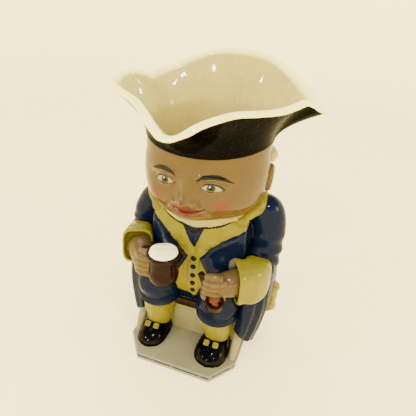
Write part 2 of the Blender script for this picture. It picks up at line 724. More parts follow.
def limb(points, rows=60, columns=48, flat=(1.0, 1.0), relief=None):
    """A limb as a closed form."""
    return closed_form(limb_grid(points, rows, columns, flat, relief))


def cushion(radii, rows, columns, gap, plan=1.0, upright=1.0):
    """A superellipsoid's grid: an ellipsoid at powers of 1, and squarer at smaller ones."""
    lat, lon = ball_angles(rows, columns, gap)
    reach = signed_power(np.cos(lat), plan)
    return np.stack([radii[0] * reach * signed_power(np.cos(lon), plan),
                     radii[1] * reach * signed_power(np.sin(lon), plan),
                     radii[2] * signed_power(np.sin(lat), upright) + 0 * lon], axis=-1)


def ball(centre, radii, rows=24, columns=40):
    """An ellipsoid as a closed form."""
    return closed_form(cushion(radii, rows, columns, 0.04) + np.asarray(centre, float))


def turned(a, b, degrees):
    """Two coordinates turned together by some degrees."""
    c, s = math.cos(math.radians(degrees)), math.sin(math.radians(degrees))
    return a * c - b * s, a * s + b * c


def tilted(tilt):
    """The turn that tips a form by some degrees about x and then about y."""
    about_x, about_y = (math.radians(a) for a in tilt)
    return Matrix.Rotation(about_y, 3, "Y") @ Matrix.Rotation(about_x, 3, "X")


def turned_grid(profile, centre, tilt, steps=96, rows=90):
    """A turned form: a smooth profile of (radius, height) spun, tilted and put in place."""
    line = open_line(profile, rows)
    turn = around(steps)
    grid = np.stack([line[:, :1] * np.cos(turn), line[:, :1] * np.sin(turn),
                     np.repeat(line[:, 1:2], steps, axis=1)], axis=-1)
    return grid @ np.array(tilted(tilt)).T + np.asarray(centre, float)


def on_side(form, side):
    """A form made for the figure's left, or its mirror image for the right."""
    places, faces = form
    return places * (side, 1, 1), faces


# The coat, its skirts, sleeves, revers and lapels

def torso_wall():
    """The chest and back as a hollow wall from the bench up to the neck."""
    angles = around(220)
    heights = np.linspace(34.0, 121.0, 60)
    outer = [body_ring(z, angles) for z in heights]
    inner = [body_ring(z, angles, -WALL * SEEN_WALL) for z in heights[::-1]]
    return ring_form(np.stack(outer + inner))


def skirt_line(s, reach, back, front):
    """A place on the skirt's line in plan, a squarish arc; s runs from -1 to 1."""
    turn = math.radians(143.0) * s
    depth = back if math.cos(turn) > 0 else front
    x = reach * math.copysign(math.sqrt(abs(math.sin(turn))), s)
    y = 16.0 + depth * math.copysign(math.sqrt(abs(math.cos(turn))), math.cos(turn))
    return np.stack([x, y + 0.0 * x], axis=1)


def skirts():
    """The coat's skirts: an upright, folded profile carried round from front edge to front edge."""
    top = 84.0
    rings = []
    for s in np.linspace(-1.0, 1.0, 241):
        hem = curve_between((0.0, 0.45, 0.72, 0.88, 1.0), (1.5, 2.5, 5.0, 10.0, 18.0), abs(s))
        shares = np.linspace(0.0, 1.0, 40)
        z = hem + (top - hem) * shares
        reach = curve_between((0.0, 12.0, 24.0, 46.0, 62.0, 74.0, top),
                              (51.0, 54.0, 57.0, 60.0, 59.5, 54.0, 42.0), z)
        wave = math.sin(s * 26.0 + 0.6 * math.sin(s * 9.0)) + 0.7 * math.sin(s * 61.0 + 1.0)
        fold = 1.5 * wave * (1.0 - shares) ** 0.6
        outer = skirt_line(s, reach + fold, 29.0 + fold - 2.0 * shares ** 4, 38.0)
        inner = skirt_line(s, reach[::-3] - 8.0, 22.0, 31.0)
        rings.append(np.vstack([np.column_stack([outer, z]), np.column_stack([inner, z[::-3]])]))
    return closed_form(np.stack(rings))


LEFT_SLEEVE = ((34.0, 8.0, 121.0, 11.5), (45.5, 9.0, 118.5, 13.2), (49.0, 9.5, 104.0, 13.4),
               (49.0, 9.0, 86.0, 13.4), (48.0, 1.0, 76.0, 12.6), (45.5, -12.0, 75.0, 11.6))
RIGHT_SLEEVE = ((-32.0, 7.0, 114.0, 11.5), (-41.0, 8.0, 111.0, 13.0), (-48.0, 8.0, 96.0, 13.4),
                (-49.0, 7.0, 86.0, 13.4), (-48.5, 0.0, 80.0, 12.6), (-47.0, -10.0, 81.5, 11.6))
YOKE = ((-38.0, 9.0, 113.0, 13.0), (-20.0, 15.0, 117.0, 14.0), (0.0, 18.0, 118.0, 14.0),
        (22.0, 15.0, 119.5, 14.0), (42.0, 9.0, 119.5, 13.2))
COLLAR = ((26.0, -9.0, 112.0, 1.5), (31.5, -10.0, 116.0, 2.2), (37.5, -7.0, 121.5, 3.6),
          (42.0, 1.0, 127.0, 4.2), (40.0, 14.0, 131.0, 4.0), (27.0, 29.0, 131.0, 4.0),
          (0.0, 37.0, 131.0, 4.0))
OTHER_COLLAR = tuple((-x, y, z - 3.0, r) for x, y, z, r in COLLAR)


def near_line(places, points):
    """Distance from each place to a limb's skin, negative inside it."""
    near = np.full(len(places), 1e9)
    for x, y, z, radius in open_line(points, 60):
        near = np.minimum(near, np.linalg.norm(places - (x, y, z), axis=1) - radius)
    return near


def buttoned_line(z):
    """The x of the waistcoat's middle, which is turned a little to the figure's left."""
    return 2.2 * np.interp(z, (90.0, 115.0), (1.0, 0.0))


def sleeve_creases(share, turn):
    """Soft creases across a sleeve, strongest at the elbow."""
    bend = hump(share, 0.62, 0.20)
    return 0.9 * bend * np.sin(share * 46.0 + 1.6 * np.cos(turn + 0.6)) - 0.6 * bend


def coat():
    """The coat, with sleeves and skirts run into it, and its cloth raised on the chest."""
    forms = [torso_wall(), skirts(), limb(YOKE, 50, 60)]
    forms += [limb(path, 60, 32) for path in (COLLAR, OTHER_COLLAR)]
    forms += [limb(path, 90, 72, relief=sleeve_creases) for path in (LEFT_SLEEVE, RIGHT_SLEEVE)]
    piece = fuse("coat", forms, 1.0, 3)
    keep_inside_clear(piece)
    places = places_of(piece)
    collar = np.minimum(near_line(places, COLLAR), near_line(places, OTHER_COLLAR))
    x, y, z = places.T
    front = (y < 2.0) & (normals_of(piece)[:, 1] < 0.35) & (y < body_depth(x, z) + 1.0)
    x = x - buttoned_line(z)
    ax = np.abs(x)
    lapel, revers = (outline_field(ax, z, outline) for outline in (LAPEL, REVERS))
    placket, waistcoat, cravat, linen = (outline_field(x, z, outline)
                                         for outline in (PLACKET, WAISTCOAT, CRAVAT, LINEN))

    def raised(field, by):
        return by * smooth_step(-field, -0.52, 0.78)

    lift = np.maximum.reduce([
        raised(waistcoat, 0.8), raised(linen, 1.6),
        raised(placket, 1.9) - 0.5 * hump(placket, -1.2, 0.5),
        raised(cravat, 1.4) + 0.35 * np.sin(x * 2.2) * (cravat < -1),
        raised(revers, REVERS_RAISE) + 0.5 * hump(revers, -2.2, 1.5) * (revers < 0),
        raised(lapel, LAPEL_RAISE) + 0.6 * hump(lapel, -1.8, 1.3) * (lapel < 0)])
    drape = smooth_step(-lapel, -0.5, 2.5)
    lift += drape * (6.5 * hump(x, -17.0, 8.0) * hump(z, 93.0, 8.0)
                     + 2.6 * hump(x, 19.0, 8.0) * hump(z, 82.0, 8.0))
    lift = spread_out(np.where(front, lift, 0.0), edge_ends(piece), 1)
    move_to(piece, places + normals_of(piece) * lift[:, None])
    waistcoat = np.minimum(waistcoat, placket)
    seam = np.minimum(np.abs(placket), 9.0)
    neck = stroke_field(x, z, NECKLINE)
    painted = {"lapel": lapel, "revers": revers, "waistcoat": waistcoat, "seam": seam,
               "cravat": cravat, "linen": linen, "neckline": neck}
    for name, field in painted.items():
        set_field(piece, name, np.where(front, field, 9.0))
    set_field(piece, "collar", collar)
    return piece


def cavity_form():
    """The jug's inside, grown to the middle of the wall, as a closed form."""
    angles = around(180)
    heights = np.linspace(FLOOR - BASE_THICKNESS - WALL * 0.4, BODY_STATIONS[-1][0], 90)
    return closed_form(np.stack([body_ring(z, angles, -WALL * 0.55) for z in heights]))


def keep_inside_clear(piece):
    """Cut away whatever of a piece reaches through the wall into the jug's inside."""
    cutter = make_piece("inside", cavity_form())
    piece.modifiers.new("flat", "TRIANGULATE")
    cut = piece.modifiers.new("cut", "BOOLEAN")
    cut.operation = "DIFFERENCE"
    cut.solver = "MANIFOLD"
    cut.object = cutter
    settle(piece)
    bpy.data.objects.remove(cutter)
    return piece


def facing(word, side):
    """The turned-back yellow facing at the rear side of the coat's skirt."""
    path = ((52.0, 27.0, 47.0, 3.6), (58.5, 28.0, 37.0, 7.0), (58.0, 29.0, 25.0, 7.0),
            (51.0, 30.0, 13.0, 4.4))

    def crease(share, turn):
        return -0.9 * hump(np.cos(turn), 0.2, 0.25)

    form = limb(path, 60, 48, flat=(0.8, 1.2), relief=crease)
    return make_piece("coat_facing_" + word, on_side(form, side))


def buttons():
    """The five buttons of the placket, low domes on its middle line."""
    made = []
    radii = (BUTTON_RADIUS, 1.3, BUTTON_RADIUS)
    for k, z in enumerate((82.5, 75.0, 67.0, 59.5, 52.0)):
        place = (float(buttoned_line(z)), float(body_depth(0.0, z)) - 1.9, z)
        made.append(make_piece("button_%d" % (k + 1), ball(place, radii)))
    return made


LEFT_CUFF = ((48.0, -6.0, 76.0, 12.0), (48.0, -13.5, 75.5, 13.6), (44.8, -20.8, 75.0, 14.0),
             (37.4, -25.6, 75.0, 13.6))
RIGHT_CUFF = ((-48.0, -7.0, 82.0, 11.6), (-47.4, -11.0, 82.5, 13.0), (-45.0, -18.0, 83.0, 13.6),
              (-42.6, -25.0, 83.5, 13.2))


def cuff(name, points, flat, shear):
    """A turned-back cuff: a flared, squarish tube with a rounded lip and a hollow mouth."""
    def relief(share, turn):
        hem = 0.5 * hump(share, 0.95, 0.05) - 0.35 * hump(share, 0.80, 0.07)
        return hem + 0.3 * np.sin(3 * turn + 5 * share)

    grid = limb_grid(points, 60, 112, flat, relief, square=3.6)[:-5]
    slant = smooth_step(np.arange(len(grid))[:, None], 10.0, len(grid) - 1.0)
    middle = grid.mean(axis=1, keepdims=True)
    grid[..., 1] -= shear * slant * (grid - middle)[..., 0]
    middle = grid[-1].mean(axis=0)
    ahead = middle - grid[-6].mean(axis=0)
    ahead /= np.linalg.norm(ahead)
    lip = ((0.5, 0.99), (0.9, 0.96), (1.0, 0.92), (0.7, 0.88), (0.0, 0.86), (-1.2, 0.84),
           (-1.8, 0.78), (-2.0, 0.5), (-2.0, 0.05))
    mouth = [middle + ahead * out + (grid[-1] - middle) * share for out, share in lip]
    return make_piece(name, closed_form(np.concatenate([grid, np.stack(mouth)])))


def hand(name, palm, wrist, way):
    """A closed hand: palm, wrist, four curled fingers and a thumb, run together."""
    px, py, pz = palm
    middle = tuple((a + b) / 2 for a, b in zip(palm, wrist))
    forms = [ball(palm, (10.0, 8.0, 9.8)),
             limb((tuple(wrist) + (10.0,), middle + (9.6,), tuple(palm) + (8.0,)), 30, 32)]
    for k in range(4):
        z = pz + 6.0 - 4.2 * k
        forms.append(limb(((px - way * 6.0, py - 2.0, z, 2.4), (px, py - 6.6, z - 0.4, 2.5),
                           (px + way * 7.0, py - 5.6, z - 0.8, 2.4),
                           (px + way * 10.0, py - 1.0, z - 1.0, 2.1)), 30, 20))
    forms.append(limb(((px - way * 3.0, py - 2.0, pz + 8.0, 2.8),
                       (px + way * 3.0, py - 4.0, pz + 9.5, 2.6),
                       (px + way * 8.0, py - 4.0, pz + 8.5, 2.2)), 24, 20))
    return fuse(name, forms, 0.45, 2)


MUG_PLACE = (-15.0, -36.0, 68.6)
MUG_TILT = (4.0, 0.0)
PIPE_PLACE = (26.0, -39.5, 57.5)
PIPE_TILT = (24.0, 8.0)


def mug():
    """The mug, a turned pot with a foot and a rim, its froth and its looped handle."""
    r, h = MUG_RADIUS, MUG_HEIGHT
    profile = ((0.4, 0.0), (r * 0.84, 0.0), (r * 0.99, h * 0.08), (r * 1.04, h * 0.25),
               (r * 0.97, h * 0.52), (r * 0.96, h * 0.80), (r * 1.12, h * 0.88),
               (r * 1.14, h * 0.97), (r * 1.02, h), (0.4, h))
    made = [make_piece("mug", closed_form(turned_grid(profile, MUG_PLACE, MUG_TILT)))]
    top = ((0.4, h * 0.96), (r * 0.86, h * 0.97), (r * 0.97, h * 1.0), (r * 0.93, h * 1.04),
           (r * 0.55, h * 1.10), (0.4, h * 1.13))
    froth = turned_grid(top, MUG_PLACE, MUG_TILT, rows=60)
    x, y, z = np.moveaxis(froth, -1, 0)
    loose = smooth_step(z, MUG_PLACE[2] + h * 0.99, MUG_PLACE[2] + h * 1.03)
    swell = 0.45 * np.sin(0.42 * x + 0.25 * y + 1.3) + 0.20 * np.sin(0.9 * y - 0.4 * x)
    froth[..., 2] += loose * swell
    made.append(make_piece("mug_froth", closed_form(froth)))
    side = MUG_PLACE[0] - r * 0.85
    loop = [(side - out, MUG_PLACE[1] + 1.5, MUG_PLACE[2] + h * share, 2.4)
            for out, share in ((0.0, 0.86), (6.5, 0.88), (9.5, 0.48), (6.5, 0.10), (0.0, 0.10))]
    made.append(make_piece("mug_handle", limb(loop, 60, 28)))
    return made


def pipe():
    """The pipe: a turned bowl with a hollow, its stem, and the embers in it."""
    r = PIPE_BOWL_RADIUS
    profile = ((0.3, -2.0), (r * 0.62, -0.8), (r, r * 1.2), (r * 0.94, r * 1.9), (r * 0.72, r * 1.9),
               (r * 0.66, r * 1.45), (0.3, r * 1.35))
    made = [make_piece("pipe_bowl", closed_form(turned_grid(profile, PIPE_PLACE, PIPE_TILT, 64, 70)))]
    stem = ((14.5, -39.5, 84.5, 2.4), (17.5, -39.0, 78.0, 2.6), (22.0, -39.0, 68.0, 2.8),
            (25.5, -40.0, 60.0, 3.2))
    made.append(make_piece("pipe_stem", limb(stem, 50, 24)))
    spin = tilted(PIPE_TILT)
    lumps = []
    for k in range(7):
        turn = k * 2.4
        out = r * 0.42 * math.sqrt(k / 6)
        at = spin @ Vector((out * math.cos(turn), out * math.sin(turn), r * 1.55))
        lumps.append(ball(np.array(at) + PIPE_PLACE, (1.7, 1.7, 1.5), rows=12, columns=16))
    made.append(fuse("pipe_embers", lumps, 0.35, 1))
    return made


# Legs, shoes, bench and base

LEFT_LEG = {"way": 1, "place": 22.0, "lift": 1.5, "foot": (24.4, -26.5), "wide": 1.06}
RIGHT_LEG = {"way": -1, "place": 28.6, "lift": 5.0, "foot": (27.4, -26.0), "wide": 0.94}


def leg(word, way, place, lift, foot, wide):
    """Breeches with a rolled hem, a stocking, a shoe and its two buckles, as limbs and a loft.

    place and lift set the knee, foot is the shoe's middle and wide its width.
    """
    def moved(points, dx, dz):
        return [(way * (x + dx), y, z + dz, r) for x, y, z, r in points]

    def rolls(share, turn):
        hem = smooth_step(share, 0.68, 0.76)
        roll = hem * (1.9 * hump(share, 0.78, 0.045) + 2.2 * hump(share, 0.90, 0.055) - 0.6)
        slack = 0.8 * hump(share, 0.50, 0.14) * np.sin(3 * turn + 9 * share)
        return roll + slack

    def ribs(share, turn):
        return 0.2 * hump(share, 0.35, 0.25) * np.sin(26 * share)

    knee = ((-8.0, 6.0, 44.0, 14.0), (-3.0, -6.0, 46.0, 16.8), (0.0, -12.5, 43.0, 17.4),
            (0.2, -11.5, 35.0, 16.4), (0.2, -10.5, 27.2, 15.2))
    calf = ((place, -10.5, 31.0 + lift, 15.2), (place, -11.0, 24.0 + lift, 14.4),
            (foot[0], -13.5, 15.0, 11.4), (foot[0], -15.5, 7.0, 8.8))
    made = [make_piece("breeches_" + word, limb(moved(knee, place, lift), 120, 84, relief=rolls)),
            make_piece("stocking_" + word, limb(moved(calf, 0.0, 0.0), 60, 64, relief=ribs)),
            shoe(word, way, foot, wide)]
    made = [keep_inside_clear(piece) for piece in made]
    set_field(made[2], "sole", np.abs(places_of(made[2])[:, 2] - 3.4) - 0.25)
    for k, x in enumerate((-4.0, 3.5)):
        middle = (way * foot[0] + x, foot[1] - 2.0, 12.3)
        made.append(buckle("buckle_%s_%d" % (word, k + 1), middle))
    return made


def shoe(word, way, foot, wide):
    """A blunt shoe: half widths and heights along the foot, with a flat sole and a welt."""
    rows, columns = 90, 72
    t = np.linspace(0, 1, rows)
    y = 27.2 - 41.9 * (0.5 - 0.5 * np.cos(np.pi * t))
    knots = (-14.7, -12.9, -9.0, -2.0, 7.5, 16.5, 22.5, 26.0, 27.2)
    half = curve_between(knots, (0.4, 5.6, 9.9, 12.0, 12.2, 10.6, 8.8, 5.0, 0.4), y) * wide
    tall = curve_between(knots, (1.5, 4.6, 7.4, 10.6, 13.2, 13.0, 11.5, 9.0, 4.0), y)
    turn = around(columns)
    c, s = np.cos(turn), np.sin(turn)
    across = signed_power(c, 0.8)
    lift = np.where(s > 0, np.abs(s) ** 0.85, 0.0)
    x = half[:, None] * across[None, :]
    z = 0.3 + tall[:, None] * lift[None, :] * (1.0 - 0.1 * np.abs(across)[None, :])
    x = x * (1.0 + 0.05 * hump(z, 1.6, 1.3) - 0.03 * hump(z, 3.6, 0.9))
    z = np.where(s[None, :] < 0, -0.8, z)
    grid = np.stack([way * (foot[0] + x), np.broadcast_to(foot[1] + y[:, None], x.shape), z], axis=-1)
    return make_piece("shoe_" + word, closed_form(grid))


def buckle(name, centre):
    """A small square buckle, a cushion-shaped block lying on the shoe's slope."""
    half = BUCKLE_SIZE / 2 * 1.1
    x, y, z = np.moveaxis(cushion((half, half, 1.2), 20, 32, 0.05, 0.35, 0.6), -1, 0)
    z = z - 0.5 * hump(np.hypot(x, y), 0.0, 1.0) * (z > 0)
    grid = np.stack([x, *turned(y, z, SHOE_SLOPE)], axis=-1)
    return make_piece(name, closed_form(grid + np.asarray(centre)))


def rounded_block(name, low, high, edge):
    """A block with rounded edges: a superellipsoid between two corners."""
    low, high = np.array(low, float), np.array(high, float)
    grid = cushion((high - low) / 2, 40, 160, 0.03, edge, edge)
    return make_piece(name, closed_form(grid + (low + high) / 2))


def base_outline(count):
    """The base's outline with its front corners cut and all corners a little rounded."""
    w, d = BASE_WIDTH / 2, BASE_DEPTH / 2
    half = [(BASE_FRONT_FLAT / 2, -d), (w, -d + BASE_CORNER_DEPTH), (w, d - BASE_BACK_CUT),
            (w - BASE_BACK_CUT, d)]
    corners = np.array(half + [(-x, y) for x, y in reversed(half)])
    after = np.roll(corners, -1, axis=0)
    length = np.concatenate([[0], np.cumsum(np.linalg.norm(after - corners, axis=1))])
    at = np.linspace(0, length[-1], count, endpoint=False)
    closed = np.vstack([corners, corners[:1]])
    ring = np.stack([np.interp(at, length, closed[:, k]) for k in range(2)], axis=1)
    for _ in range(4):
        ring = (np.roll(ring, 1, axis=0) + 2 * ring + np.roll(ring, -1, axis=0)) / 4
    return ring


def base():
    """The slab: a profile with a rounded upper edge carried round the cut outline."""
    ring = base_outline(560)
    out = plan_normals(ring)
    t = BASE_THICKNESS
    e = BASE_EDGE_ROUND
    profile = [(0.5, -t), (0.0, -t + 0.5), (0.0, -t + 2.2), (0.0, -2.6)]
    profile += [(e - e * math.cos(a), -e + e * math.sin(a)) for a in np.linspace(0, math.pi / 2, 9)]
    below, above = (0.04, 0.5, 0.9), (0.96, 0.9, 0.8, 0.66, 0.5, 0.34, 0.18, 0.04)
    rows = [(ring * share, -t) for share in below]
    rows += [(ring - out * inset, z) for inset, z in profile]
    rows += [(ring * share, 0.0) for share in above]
    grid = np.stack([np.column_stack([plan, np.full(len(ring), z)]) for plan, z in rows])
    depth = np.array([30.0] * len(below) + [-z for _, z in profile] + [-9.0] * len(above))
    edge = np.broadcast_to(depth[:, None], grid.shape[:2])
    return make_piece("base", closed_form(grid), {"edge": edge})


def pedestal():
    """The plain wall under the bench, behind the legs."""
    angles = around(200)
    back = -1.8 * (np.sin(angles) > 0)
    outer = [body_ring(z, angles, back) for z in np.linspace(-1.0, 36.0, 24)]
    inner = [body_ring(z, angles, -WALL * SEEN_WALL) for z in np.linspace(36.0, -1.0, 8)]
    return make_piece("pedestal", ring_form(np.stack(outer + inner)))


def ridge(word, side):
    """The low ridge that climbs from the base's cut corner to the coat's tail."""
    path = ((41.5, -25.0, -0.5, 2.4), (41.8, -21.0, 4.5, 3.0), (42.0, -16.0, 11.0, 3.6),
            (42.0, -8.0, 16.0, 4.0))
    return make_piece("base_ridge_" + word, on_side(limb(path, 50, 32), side))


# Hair and the back handle

def lock(points, turns, depth):
    """One lock of hair: a limb with grooves that wind along it."""
    def relief(share, turn):
        ends = smooth_step(share, 0.0, 0.1) * smooth_step(1 - share, 0.0, 0.1)
        return depth * ends * np.abs(np.sin(2.5 * turn + turns * share)) ** 0.7 - depth * 0.6
    return limb(points, 90, 60, relief=relief)


def hair_cap():
    """The hair's mass behind the ears: a thin shell on the head with soft upright waves."""
    turn = np.linspace(math.radians(24.0), math.radians(92.0), 90)
    ends = smooth_step(turn, math.radians(24.0), math.radians(34.0))
    rows = []
    for z in np.linspace(120.0, 171.0, 50):
        wave = 0.7 * np.sin(turn * 34.0 + 0.9 * math.sin(z * 0.16))
        outer = body_ring(z, turn)
        outer[:, 0] += np.cos(turn) * ends * (2.6 + wave)
        outer[:, 1] += np.sin(turn) * ends * (2.6 + wave)
        inner = body_ring(z, turn[::-1], -WALL * 0.4)
        rows.append(np.vstack([outer, inner]))
    return closed_form(np.stack(rows))


def hair(word, side):
    """The hair on one side: its mass, curls behind the ear, and locks down the back."""
    forms = [hair_cap()]
    for z, x in ((161.0, 41.4), (149.0, 39.0), (136.0, 37.5)):
        forms.append(lock(((x + 0.8, 7.0, z, 3.6), (x, 16.0, z - 1.0, 5.4),
                           (x - 4.5, 25.0, z - 1.5, 5.6), (x - 10.0, 31.0, z - 1.0, 4.6)), 4.0, 0.7))
    for x, y in ((25.0, 34.5), (15.5, 39.0), (5.5, 40.5)):
        forms.append(lock(((x, y, 167.0, 4.6), (x + 1.2, y + 0.6, 150.0, 5.0),
                           (x - 1.0, y - 0.5, 134.0, 4.8), (x - 1.0, y - 6.5, 120.0, 4.0)), 3.0, 0.6))
    forms = [on_side(form, side) for form in forms]
    return keep_inside_clear(fuse("hair_" + word, forms, 0.66, 3))


def handle():
    """The loop handle from the back of the head down to the coat's waist."""
    back = 42.5
    r = HANDLE_THICKNESS / 2
    out = back + HANDLE_FINGER_GAP + r
    path = ((0.0, 39.8, 160.0, r), (0.0, 47.0, 163.0, r), (0.0, out - 7.0, 158.0, r),
            (0.0, out, 143.0, r), (0.0, out + 0.5, 120.0, r), (0.0, out - 2.0, 98.0, r),
            (0.0, out - 9.0, 80.0, r), (0.0, 48.0, 70.0, r), (0.0, 39.8, 68.0, r))

    def spine(share, turn):
        return 0.5 * np.abs(np.sin(turn)) ** 6

    return make_piece("handle", limb(path, 160, 56, (HANDLE_WIDTH / HANDLE_THICKNESS, 1.0), spine))


# Glazes

def set_inputs(node, values):
    """Set a node's sockets to plain values, by name."""
    for name, value in values.items():
        node.inputs[name].default_value = value


def tinted(colour, times, plus=0.0):
    """A colour made darker or paler."""
    return tuple(min(1.0, c * times + plus) for c in colour)


class Glaze:
    """A painted, clear-glazed surface whose colour is laid on in coats, one after another."""

    def __init__(self, name, colour, streaks=0.25, size=14.0, gloss=0.35):
        self.material = bpy.data.materials.new(name)
        self.material.use_nodes = True
        tree = self.material.node_tree
        self.nodes, self.links = tree.nodes, tree.links
        self.shader = self.nodes["Principled BSDF"]
        set_inputs(self.shader, {"IOR": 1.52, "Specular IOR Level": gloss * 0.1, "Coat Weight": gloss,
                                 "Coat Roughness": 0.03, "Coat IOR": 1.5})
        self.place = self.add("ShaderNodeTexCoord").outputs["Object"]
        self.colour = self.plain(colour)
        pool = self.noise(size, 3.0)
        self.lay(tinted(colour, 0.72), self.between(pool, 0.45, 0.75, streaks))
        brush = self.noise(3.2, 4.0, (1.0, 1.0, 0.22))
        self.lay(tinted(colour, 1.35, 0.0006), self.between(brush, 0.52, 0.78, streaks))

    def add(self, kind, **values):
        """A new node of a kind, with its properties."""
        node = self.nodes.new(kind)
        for key, value in values.items():
            setattr(node, key, value)
        return node

    def plain(self, colour):
        """One colour as a socket."""
        node = self.add("ShaderNodeRGB")
        node.outputs[0].default_value = (*colour, 1.0)
        return node.outputs[0]

    def noise(self, size, detail, stretch=(1.0, 1.0, 1.0)):
        """Cloudy variation with blotches of about this size in millimetres."""
        mapping = self.add("ShaderNodeMapping")
        set_inputs(mapping, {"Scale": stretch})
        self.links.new(self.place, mapping.inputs["Vector"])
        node = self.add("ShaderNodeTexNoise")
        set_inputs(node, {"Scale": 1000.0 / size, "Detail": detail})
        self.links.new(mapping.outputs[0], node.inputs["Vector"])
        return node.outputs["Fac"]

    def field(self, name):
        """A field of the piece, such as its crest."""
        return self.add("ShaderNodeAttribute", attribute_name=name).outputs["Fac"]

    def between(self, value, low, high, top=1.0):
        """0 below low, top above high, smooth between."""
        node = self.add("ShaderNodeMapRange", interpolation_type="SMOOTHSTEP")
        set_inputs(node, {"From Min": low, "From Max": high, "To Max": top})
        self.links.new(value, node.inputs["Value"])
        return node.outputs["Result"]

    def below(self, value, low, high):
        """1 below low, 0 above high, smooth between."""
        return self.sum(1.0, self.between(value, low, high), "SUBTRACT")

    def waver(self, size, detail, amount):
        """Cloudy variation to either side of 0."""
        return self.sum(self.sum(self.noise(size, detail), 0.5, "SUBTRACT"), amount, "MULTIPLY")

    def sum(self, a, b, operation="ADD"):
        """Two values added, or joined by another operation."""
        node = self.add("ShaderNodeMath", operation=operation)
        for k, value in enumerate((a, b)):
            if isinstance(value, (int, float)):
                node.inputs[k].default_value = value
            else:
                self.links.new(value, node.inputs[k])
        return node.outputs[0]

    def inside(self, name, edge=0.12, wobble=0.35, grow=0.0):
        """1 inside a field's outline, with an edge that wavers as a brush does."""
        value = self.sum(self.sum(self.field(name), self.waver(4.0, 2.0, wobble * 2)), -grow)
        return self.below(value, -edge, edge)

    def lay(self, colour, amount):
        """Lay a colour over what is there."""
        node = self.add("ShaderNodeMix", data_type="RGBA")
        self.links.new(amount, node.inputs[0])
        self.links.new(self.colour, node.inputs[6])
        if isinstance(colour, tuple):
            node.inputs[7].default_value = (*colour, 1.0)
        else:
            self.links.new(colour, node.inputs[7])
        self.colour = node.outputs[2]

    def streaked(self, colour, amount=0.3):
        """A colour with brush streaks in it, to lay over another."""
        under, self.colour = self.colour, self.plain(colour)
        self.lay(tinted(colour, 0.68), self.between(self.noise(9.0, 3.0), 0.42, 0.72, amount))
        brush = self.noise(2.6, 4.0, (1.0, 1.0, 0.3))
        self.lay(tinted(colour, 1.3, 0.0006), self.between(brush, 0.52, 0.78, amount))
        made, self.colour = self.colour, under
        return made

    def wear(self, colour, start, end, amount):
        """The paint thins on the crests and shows a paler colour."""
        rough = self.sum(self.field("crest"), self.waver(2.0, 3.0, 0.12))
        self.lay(colour, self.between(rough, start, end, amount))

    def pooled(self, colour, start, end, amount):
        """The glaze runs together and darkens in the hollows."""
        low = self.sum(self.field("crest"), -1.0, "MULTIPLY")
        self.lay(colour, self.between(low, start, end, amount))

    def done(self, ripple=0.10):
        """Speckle, small ripples in the glaze, and a roughness that varies a little."""
        pits = self.noise(0.9, 2.0)
        self.lay(SPECK_BROWN, self.between(pits, 0.74, 0.80, 0.25))
        self.links.new(self.colour, self.shader.inputs["Base Color"])
        rough = self.between(self.noise(6.0, 3.0), 0.3, 0.8, 0.20)
        self.links.new(self.sum(rough, 0.22), self.shader.inputs["Roughness"])
        height = self.sum(self.noise(5.0, 2.0), self.sum(self.noise(1.4, 2.0), 0.25, "MULTIPLY"))
        bump = self.add("ShaderNodeBump")
        set_inputs(bump, {"Strength": ripple, "Distance": 0.001})
        self.links.new(height, bump.inputs["Height"])
        self.links.new(bump.outputs[0], self.shader.inputs["Normal"])
        self.links.new(bump.outputs[0], self.shader.inputs["Coat Normal"])
        return self.material


def cream_glaze(name, colour, gloss=0.35):
    """Cream glaze over the bare clay, paler where it is thin and warmer in the hollows."""
    glaze = Glaze(name, colour, 0.35, 22.0, gloss)
    glaze.pooled(tinted(colour, 0.55), 0.02, 0.35, 0.7)
    glaze.wear(tinted(colour, 1.3), 0.04, 0.3, 0.6)
    return glaze


def hat_glaze(name, gloss):
    """Black outside, cream inside, and a pale rounded rim."""
    glaze = cream_glaze(name, CREAM, gloss)
    rim = glaze.below(glaze.field("brim"), 8.5, 12.0)
    glaze.lay(glaze.streaked(RIM_CREAM, 0.2), rim)
    black = glaze.streaked(HAT_BLACK, 0.5)
    outside = glaze.inside("brim", 0.2, 0.4)
    glaze.lay(black, outside)
    wash = glaze.between(glaze.noise(16.0, 3.0, (1.0, 1.0, 2.2)), 0.56, 0.66, 0.5)
    glaze.lay(HAT_WASH, glaze.sum(wash, outside, "MULTIPLY"))
    return glaze.done(0.08)


def flesh_glaze(name, face=False):
    """Tan flesh glaze; the face has painted brows, eyes, lips and warm cheeks."""
    glaze = Glaze(name, FLESH, 0.3, 16.0)
    glaze.pooled(FLESH_POOLED, 0.02, 0.30, 0.75)
    glaze.wear(FLESH_WORN, 0.03, 0.25, 0.55)
    if face:
        glaze.lay(CHEEK_RED, glaze.between(glaze.field("blush"), 0.25, 0.95, 0.62))
        glaze.lay(glaze.streaked(LIP_RED, 0.3), glaze.inside("lips", 0.15, 0.2))
        glaze.lay(PARTING_RED, glaze.inside("parting", 0.15, 0.1))
        glaze.lay(EYE_WHITE, glaze.inside("eye", 0.12, 0.1))
        seen = glaze.inside("eye", 0.12, 0.1)
        for colour, name in ((IRIS_GREY, "iris"), (PAINT_BLACK, "pupil")):
            glaze.lay(colour, glaze.sum(glaze.inside(name, 0.15, 0.1), seen, "MULTIPLY"))
        glaze.lay(GLINT_WHITE, glaze.inside("glint", 0.12, 0.0))
        glaze.lay(PAINT_BLACK, glaze.inside("brush", 0.14, 0.25))
    return glaze.done(0.10)


